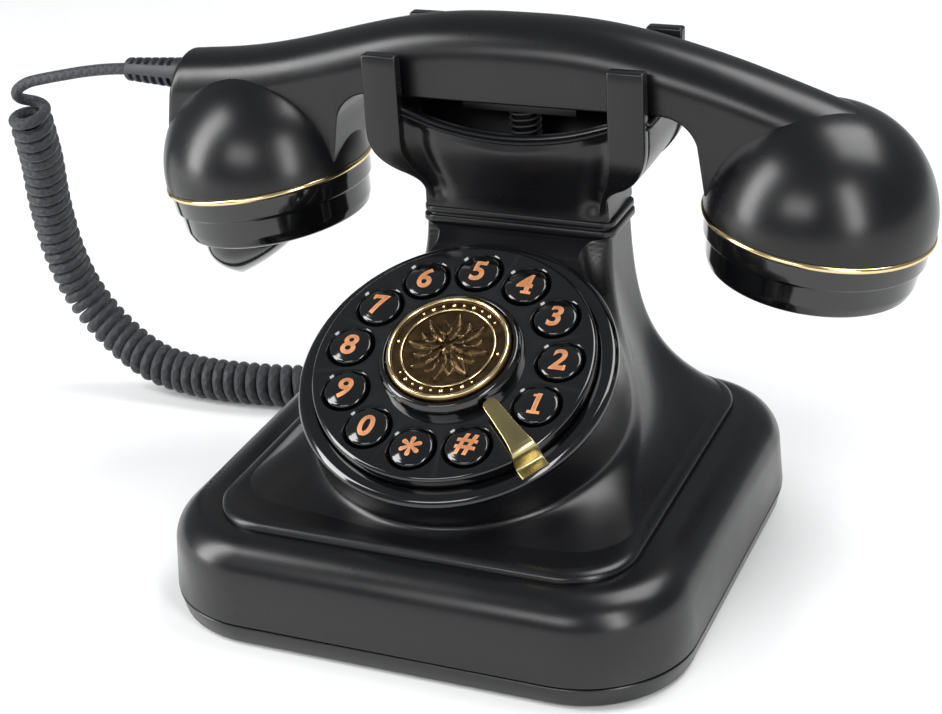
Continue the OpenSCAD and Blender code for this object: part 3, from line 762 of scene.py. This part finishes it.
# Slab serifs: how far across and up the figure as fractions, then width and height in mm
SERIFS = {
    "1": [(0.42, 0.07, 3.5, 0.8), (0.02, 0.88, 1.3, 0.75)],
    "2": [(0.96, 0.13, 0.7, 1.5)],
    "4": [(0.68, 0.06, 2.9, 0.75)],
    "5": [(0.92, 0.97, 0.7, 1.2)],
    "7": [(0.04, 0.86, 0.75, 1.5)],
}


def add_serifs(bm, text):
    """Adds flat blocks to a figure, cut finely enough to follow the key's dome."""
    x = [v.co[0] for v in bm.verts]
    y = [v.co[1] for v in bm.verts]
    low, span = (min(x), min(y)), (max(x) - min(x), max(y) - min(y))
    for across, up, width, height in SERIFS.get(text, []):
        centre = (low[0] + across * span[0], low[1] + up * span[1], 0)
        place = Matrix.Translation(centre) @ Matrix.Diagonal((width, height, 0.2, 1))
        made = bmesh.ops.create_cube(bm, size=1, matrix=place)
        edges = {e for v in made["verts"] for e in v.link_edges}
        bmesh.ops.subdivide_edges(bm, edges=list(edges), cuts=3, use_grid_fill=True)


def make_medallion():
    """The centre rocker: a cast rosette between two gilt rings, with studs in the band between."""
    rim = [(0, 1.6), (16.9, 1.6), (17.2, 1.9), (17.2, 3.4), (17.0, 3.9), (16.7, 4.15),
           (16.3, 4.2), (15.9, 4.0), (15.75, 3.55)]
    n = 288
    angles = [2 * pi * k / n for k in range(n)]
    rings = [[(r * cos(a), r * sin(a), z) for a in angles] for r, z in rim]
    rings += [[(r * cos(a), r * sin(a), rosette(r, a)) for a in angles]
              for r in np.linspace(15.6, 0, 150)]
    token = piece("rosette", np.reshape(rings, (-1, 3)), grid(len(rings), n), DIAL, 40)
    dress(token, BRONZE, "bronze", "rocker", "medallion")
    for name, r, h, wide in (("token_ring_outer", 16.35, 4.05, 0.55),
                             ("token_ring_inner", 12.9, 3.75, 0.32)):
        turns = [2 * pi * k / 12 for k in range(12)]
        outline = [(r + wide * cos(b), h + 0.8 * wide * sin(b)) for b in turns]
        dress(lathe(name, outline, DIAL, 160), GILT, "gilt", "rocker", "medallion")
    studs = []
    band_r, stud_step, large, small = 14.35, 11.5, 0.62, 0.42
    for half in (-1, 1):
        for k in range(-4, 5):
            a = half * pi / 2 + radians(stud_step * k)
            size = large if k % 2 else small
            studs.append(stud((band_r * cos(a), band_r * sin(a)), size))
        studs.append(stud((band_r * half, 0), 0.5))
    dress(join("studs", studs), GILT, "gilt", "rocker", "medallion")


def stud(centre, size):
    """A small round-headed stud on the rocker."""
    profile = [(0, 3.3), (size, 3.3), (size, 3.6), (size * 0.75, 3.9), (size * 0.4, 4.02),
               (0, 4.06)]
    return lathe("stud", profile, DIAL @ Matrix.Translation((*centre, 0)), 16)


def rosette(r, a):
    """Height of the cast face: a flat, a boss, eight long petals and eight short ones."""
    flat, boss, boss_r, petals = 3.45, 0.75, 1.7, 8
    h = flat
    h += boss * exp(-(r / boss_r) ** 4)
    for turn, inner, outer, high in ((0, 2.0, 11.6, 0.85), (pi / 8, 4.0, 9.6, 0.6)):
        if inner < r < outer:
            t = (r - inner) / (outer - inner)
            across = abs(((a + turn) * petals / (2 * pi) + 0.5) % 1 - 0.5) * 2 * pi / petals * r
            width = 1.75 * sin(pi * t ** 0.8) ** 0.8
            if width > 0.05:
                h += high * max(0.0, 1 - (across / width) ** 2) ** 0.6
    return h


# Cradle

def neck_ring(hx, hy, z):
    """The neck's outline at height z, with half sizes hx and hy."""
    return lift(rounded_rect(hx, hy, 4, 10, HAND_Y), z)


def bead(z, height, hx, hy, r):
    """A round-edged band about the neck, from z up."""
    rings = []
    steps = 8
    for i in range(steps + 1):
        a = -pi / 2 + pi * i / steps
        inset = r * (1 - cos(a))
        straight = (height - 2 * r) * (i > steps / 2)
        rings.append(neck_ring(hx - inset, hy - inset, z + straight + r + r * sin(a)))
    return loft("bead", rings)


def smooth_max(a, b, k):
    """The larger of two numbers, blended where they differ by less than k."""
    h = max(k - abs(a - b), 0) / k
    return max(a, b) + h * h * k / 4


def ease(low, high, value):
    """From 0 at low to 1 at high, smooth at both ends."""
    t = min(max((value - low) / (high - low), 0), 1)
    return t * t * (3 - 2 * t)


# The hooked flare is an arc about this point, seen from the front
HOOK_X, HOOK_Z, HOOK_R = 26, 115, 15.1


def crook_half(z):
    """Half width of the cradle at height z: straight neck, hooked flare, straight sides."""
    if z >= HOOK_Z:
        return PRONG_X[1]
    hook = HOOK_X + sqrt(max(HOOK_R ** 2 - (HOOK_Z - z) ** 2, 0))
    return smooth_max(NECK_HALF, hook, 4)


def trough_half(z):
    """Half depth of the cradle at height z, which widens from the neck to the rim."""
    neck, widening = 11, 5.2
    return neck + widening * ease(92, 113, z)


def rim_height(x):
    """Height of the trough's rim: a sagging arc that levels off at the sides."""
    rim_r, centre_z, level = 84.6, 200.2, 122.6
    return min(centre_z - sqrt(rim_r ** 2 - min(abs(x), 60) ** 2), level)


def trough_point(p, kind, value, off):
    """A point of the cradle's skin, which runs up the outside, over the rim and down inside.

    p gives x and y as parts of the half sizes, the way that the flutes face and the way that off
    moves x. value is a part of the height, or on the rim a height above it.
    """
    across, depth, facing, outward = p
    floor, inner_low = 103, 104
    z = 110.0
    for _ in range(8):  # the rim's height hangs on x, and x on the height
        x = across * crook_half(z)
        rim = rim_height(x)
        if kind == "out":
            z = NECK_Z + value * (rim - 2.6 - NECK_Z)
        elif kind == "in":
            z = floor + value * (rim - inner_low)
        else:
            z = rim + value
    fade = ease(NECK_Z, NECK_Z + 6, z) * (1 - 0.85 * ease(rim - 5, rim - 2.4, z))
    # A hollow flute stands near each side, and the middle bulges a little
    wide = 23.5 + 3.0 * ease(96, 112, z)
    flute = (-1.9 * exp(-((abs(x) - wide) / 3.4) ** 2) + 0.8 * exp(-(x / 14) ** 2)) * fade
    y = depth * (trough_half(z) + off) + facing * (flute if kind != "in" else 0)
    return (x + outward * off, HAND_Y + y, z)


def make_trough():
    """The cradle's hollow middle, with fluted sides and a rolled and grooved rim."""
    around = []
    n = 90
    for side in (-1, 1):
        for i in range(n + 1):
            s = -1 + 2 * i / n
            around.append((-side * s * 0.985, side, side, 0.0))
        for depth, wide in ((0.96, 0.998), (0.85, 1.0), (0.3, 1.0)):
            around.append((-side * wide, side * depth, 0.0, -side))
    wall = 2.8
    rim = [(-2.45, 0.2), (-2.25, 0.55), (-1.95, 0.72), (-1.5, 0.62), (-1.25, 0.25), (-1.15, 0.1),
           (-1.05, 0.25), (-0.85, 0.6), (-0.5, 0.75), (-0.15, 0.5), (0.0, 0.0), (0.0, -2.1),
           (-0.2, -2.6), (-0.7, -wall)]
    levels = [("out", t, 0.0) for t in np.linspace(0, 1, 44)]
    levels += [("rim", z, off) for z, off in rim]
    levels += [("in", t, -wall) for t in np.linspace(0.98, 0, 12)]
    rings = [[trough_point(p, *level) for p in around] for level in levels]
    dress(loft("cradle_trough", rings, sharp=38), BLACK, "housing", "base", "cradle")


# Outer and inner edges of a prong below its straight part, as x and z
PRONG_OUT = [(PRONG_X[1], 118), (PRONG_X[1], HOOK_Z)]
PRONG_OUT += [(HOOK_X + HOOK_R * cos(a), HOOK_Z + HOOK_R * sin(a))
              for a in np.linspace(-0.15, -1.2, 9)]
PRONG_OUT += [(29.0, 99.2), (27.8, 97.2), (27.45, 95), (NECK_HALF, PRONG_FOOT_Z)]
PRONG_IN = [(PRONG_X[0], 118), (PRONG_X[0], HOOK_Z), (PRONG_X[0], 112), (30.4, 108.5), (29.4, 105),
            (27.8, 101.5), (26.2, 98), (25.0, 94.5), (24.4, PRONG_FOOT_Z)]


def even_points(points, count):
    """So many points, evenly spaced, on a smooth curve through flat points."""
    path = spline([(x, 0, z) for x, z in points], 0.2)
    length = np.concatenate([[0], np.cumsum(np.linalg.norm(np.diff(path, axis=0), axis=1))])
    at = np.linspace(0, length[-1], count)
    return [(np.interp(s, length, path[:, 0]), np.interp(s, length, path[:, 2])) for s in at]


def make_prong(side, front):
    """A flat prong with bevelled edges that hooks down and sinks into the corner of the neck."""
    top = 137.2 if front else 139.2
    inner, outer = PRONG_X
    half_thick = 2
    pairs = [((outer - i, top - d), (inner + i, top - d), i)
             for d, i in ((0, 0.7), (0.12, 0.35), (0.35, 0.12), (0.7, 0))]
    pairs += [((outer, z), (inner, z), 0) for z in np.linspace(top - 4, 121, 8)]
    pairs += [(o, i, 0) for o, i in zip(even_points(PRONG_OUT, 44), even_points(PRONG_IN, 44))]
    rings = []
    for (ox, oz), (ix, iz), inset in pairs:
        half = sqrt((ox - ix) ** 2 + (oz - iz) ** 2) / 2
        ring = []
        for u, v in rounded_rect(half, half_thick - inset, 0.6, 4):
            w = (u / half + 1) / 2
            x, z = ix + (ox - ix) * w, iz + (oz - iz) * w
            proud = 3.3 * ease(93, 109, z) - 0.25
            y = v + half_thick - trough_half(z) - proud
            ring.append((side * x, (1 if front else -1) * y + HAND_Y, z))
        rings.append(ring)
    name = f"prong_{'front' if front else 'rear'}_{'left' if side < 0 else 'right'}"
    dress(loft(name, rings), BLACK, "housing", "base", "cradle")


def make_cradle():
    """The neck with its two beads, the trough and the four prongs."""
    parts = [bead(SEAM_Z, 2.4, 29.1, 11.9, 0.75), bead(SEAM_Z + 2.9, 2.1, 28.9, 11.7, 0.7)]
    neck = [neck_ring(28.2, 11.1, SEAM_Z - 0.5), neck_ring(28.2, 11.1, SEAM_Z + 4.6),
            neck_ring(NECK_HALF, 10.9, SEAM_Z + 5.2), neck_ring(26.4, 10, SEAM_Z + 8)]
    parts.append(loft("neck", neck))
    dress(join("cradle_neck", parts), BLACK, "housing", "base", "cradle")
    make_trough()
    for side in (-1, 1):
        for front in (True, False):
            make_prong(side, front)


# Handset

def grip_top(x):
    """Height of the grip's back, which bows up in the middle and dips toward the ear."""
    return 128 + 17.6 * exp(-abs(x / 68) ** 2.6) - (5 * ((x - 55) / 40) ** 2 if x > 55 else 0)


def grip_under(x):
    """Height of the grip's underside: level between the prongs, then round and down to a dome."""
    level, flat, bend_r, steep, lowest = 123.0, 43, 11, 7, 101.0
    a, low = abs(x), level - bend_r
    if a < flat:
        return level
    if a < flat + bend_r:
        return low + sqrt(bend_r ** 2 - (a - flat) ** 2)
    return max(lowest, low - (a - flat - bend_r) * steep)


def grip_ring(x, d, lean):
    """A section of the grip at x, drawn in by d: square below, with a rounded back."""
    half_wide, back_h, r = 12.2, 11, 0.8
    z0, z1, w = grip_under(x) + d, grip_top(x) - d, half_wide - d
    h = min(back_h, z1 - z0 - 2)
    low = [(-w + r - r * sin(b), z0 + r - r * cos(b)) for b in np.linspace(pi / 2, 0, 5)]
    low += [(w - r + r * sin(b), z0 + r - r * cos(b)) for b in np.linspace(0, pi / 2, 5)]
    crown = [(w * cos(b), z1 - h + h * sin(b)) for b in np.linspace(0, pi, 33)]
    return [(x + lean * (z - 109), HAND_Y + y, z) for y, z in low + crown]


def make_grip():
    """The grip, from its leaning end face at the cord to where it sinks into the ear's dome."""
    first, last, round_r, lean = -110.6, 95.0, 1.6, 0.15
    turn = np.linspace(0, pi / 2, 6)
    middle = np.unique(np.concatenate([np.arange(-102, -58, 1.5), np.arange(-58, -41, 0.5),
                                       np.arange(-41, 41, 1.5), np.arange(41, 58, 0.5),
                                       np.arange(58, 93, 1.5)]))
    rings = [grip_ring(first + round_r * (1 - cos(b)), round_r * (1 - sin(b)), lean) for b in turn]
    rings += [grip_ring(x, 0, lean * max(0, (-101 - x) / 8)) for x in (-107, -105, -103.5)]
    rings += [grip_ring(x, 0, 0) for x in middle]
    rings += [grip_ring(last - 1, 0, 0), grip_ring(last, 0.8, 0)]
    dress(loft("grip", rings, sharp=40), BLACK, "housing", "handset", "handset_shell")


def make_capsule(side, name):
    """A dome, its gilt ring, and a stepped cap with nineteen sound holes."""
    place = capsule(side)
    dome_r = 31.5
    dome = [(0, 0), (31.1, 0), (dome_r, 0.4), (dome_r, 1)]
    dome += [(dome_r * cos(a), 1 + dome_r * sin(a)) for a in np.linspace(0, pi / 2, 40)[1:]]
    dress(lathe(f"{name}_dome", dome, place, 160), BLACK, "housing", "handset", "handset_shell")
    ring = [(29.4, -1.55)] + [(31.1 + 0.9 * cos(a), -0.68 + 0.87 * sin(a))
                              for a in np.linspace(-pi / 2, pi / 2, 12)] + [(29.4, 0.19)]
    dress(lathe(f"{name}_gilt", ring, place, 160), GILT, "gilt", "handset", f"{name}_ring")
    bottom = -CAP_H
    cap = [(30.9, -1.2), (30.5, -7.2), (29.5, -7.5), (28.9, -13.6), (28.1, -16), (26.4, bottom),
           (0, bottom)]
    body = lathe(f"{name}_cap_body", [(0, -1.2)] + fillet(cap, 0.6, closed=False), place, 160)
    hole_r, ring_step = 0.9, 4
    hole = [(0, bottom - 2), (hole_r, bottom - 2), (hole_r, bottom + 3), (0, bottom + 3)]
    holes = []
    for k in range(3):
        count = max(1, 6 * k)
        for i in range(count):
            a = 2 * pi * i / count
            centre = (ring_step * k * cos(a), ring_step * k * sin(a), 0)
            holes.append(lathe("hole", hole, place @ Matrix.Translation(centre), 20))
    cut(body, join("holes", holes))
    dress(body, GLOSS, "gloss_black", "handset", f"{name}_cap")


def horn_skin(base_x, base_r, tip, top, n=72):
    """Rings of an oblique cone, ended where it reaches its tip or the slanted mouth."""
    mouth_slope, mouth_x, mouth_z = tan(radians(31)), -15.5, -16
    rings = []
    for s in np.linspace(0, 1, 16):
        ring = []
        for k in range(n):
            a = 2 * pi * k / n
            start = np.array([base_x + base_r * cos(a), base_r * sin(a), top])
            step = np.array(tip) - start
            gap0 = start[2] - mouth_z - (start[0] - mouth_x) * mouth_slope
            gap1 = tip[2] - mouth_z - (tip[0] - mouth_x) * mouth_slope
            reach = min(1.0, gap0 / (gap0 - gap1)) if gap0 - gap1 > 0 else 1.0
            t = max(reach, 0.0) * s
            blunt = (1 - t ** 2.2) / max(1 - t, 1e-6) if t < 1 else 2.2
            axis = np.array((base_x, 0, top)) + t * (np.array(tip) - (base_x, 0, top))
            ring.append(axis + (start + step * t - axis) * blunt)
        rings.append(ring)
    return rings


def make_horn():
    """The scoop under the mouthpiece, as an outer and an inner skin."""
    place = capsule(-1) @ Matrix.Translation((0, 0, -CAP_H))
    root_x, outer_r, inner_r = -7.5, 16.5, 14.9
    outer = horn_skin(root_x, outer_r, (-18.6, 0, -18.0), 0.0)
    inner = horn_skin(root_x, inner_r, (-17.4, 0, -15.0), 0.0)
    rings = outer + inner[::-1]
    dress(loft("horn", rings, place, closed=True), GLOSS, "gloss_black", "handset", "mouth_horn")


def dress_cad():
    """Finishes for the parts that are shown as the CAD has them, most of them hidden inside."""
    looks = {
        "rubber_feet": FOOT, "tray_screws": STEEL, "ballast_weight": STEEL, "main_board": BOARD,
        "ringer": PART, "cradle_screws": STEEL, "hook_switch": PART, "hook_plunger": BLACK,
        "keypad_board": BOARD, "keypad_membrane": MEMBRANE, "medallion_pin": STEEL,
        "handset_jack": GLOSS, "line_jack": GLOSS, "switch_body": STEEL, "ringer_slider": GLOSS,
        "microphone": STEEL, "ear_capsule": PART, "handset_weight": STEEL,
        "handset_screws": STEEL, "base_plug": CLEAR,
    }
    for name, material in looks.items():
        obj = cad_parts[name]
        obj.data.materials.clear()
        obj.data.materials.append(material)
        shade(obj, 30)
        bevel(obj, 0.25)


make_camera()
make_cord(make_strain_relief())
make_floor()
make_light()
make_base()
make_foot()
make_pylon()
make_dial()
make_finger_stop()
make_keys()
make_medallion()
make_cradle()
make_spring()
make_grip()
make_capsule(-1, "mouth")
make_capsule(1, "ear")
make_horn()
dress_cad()
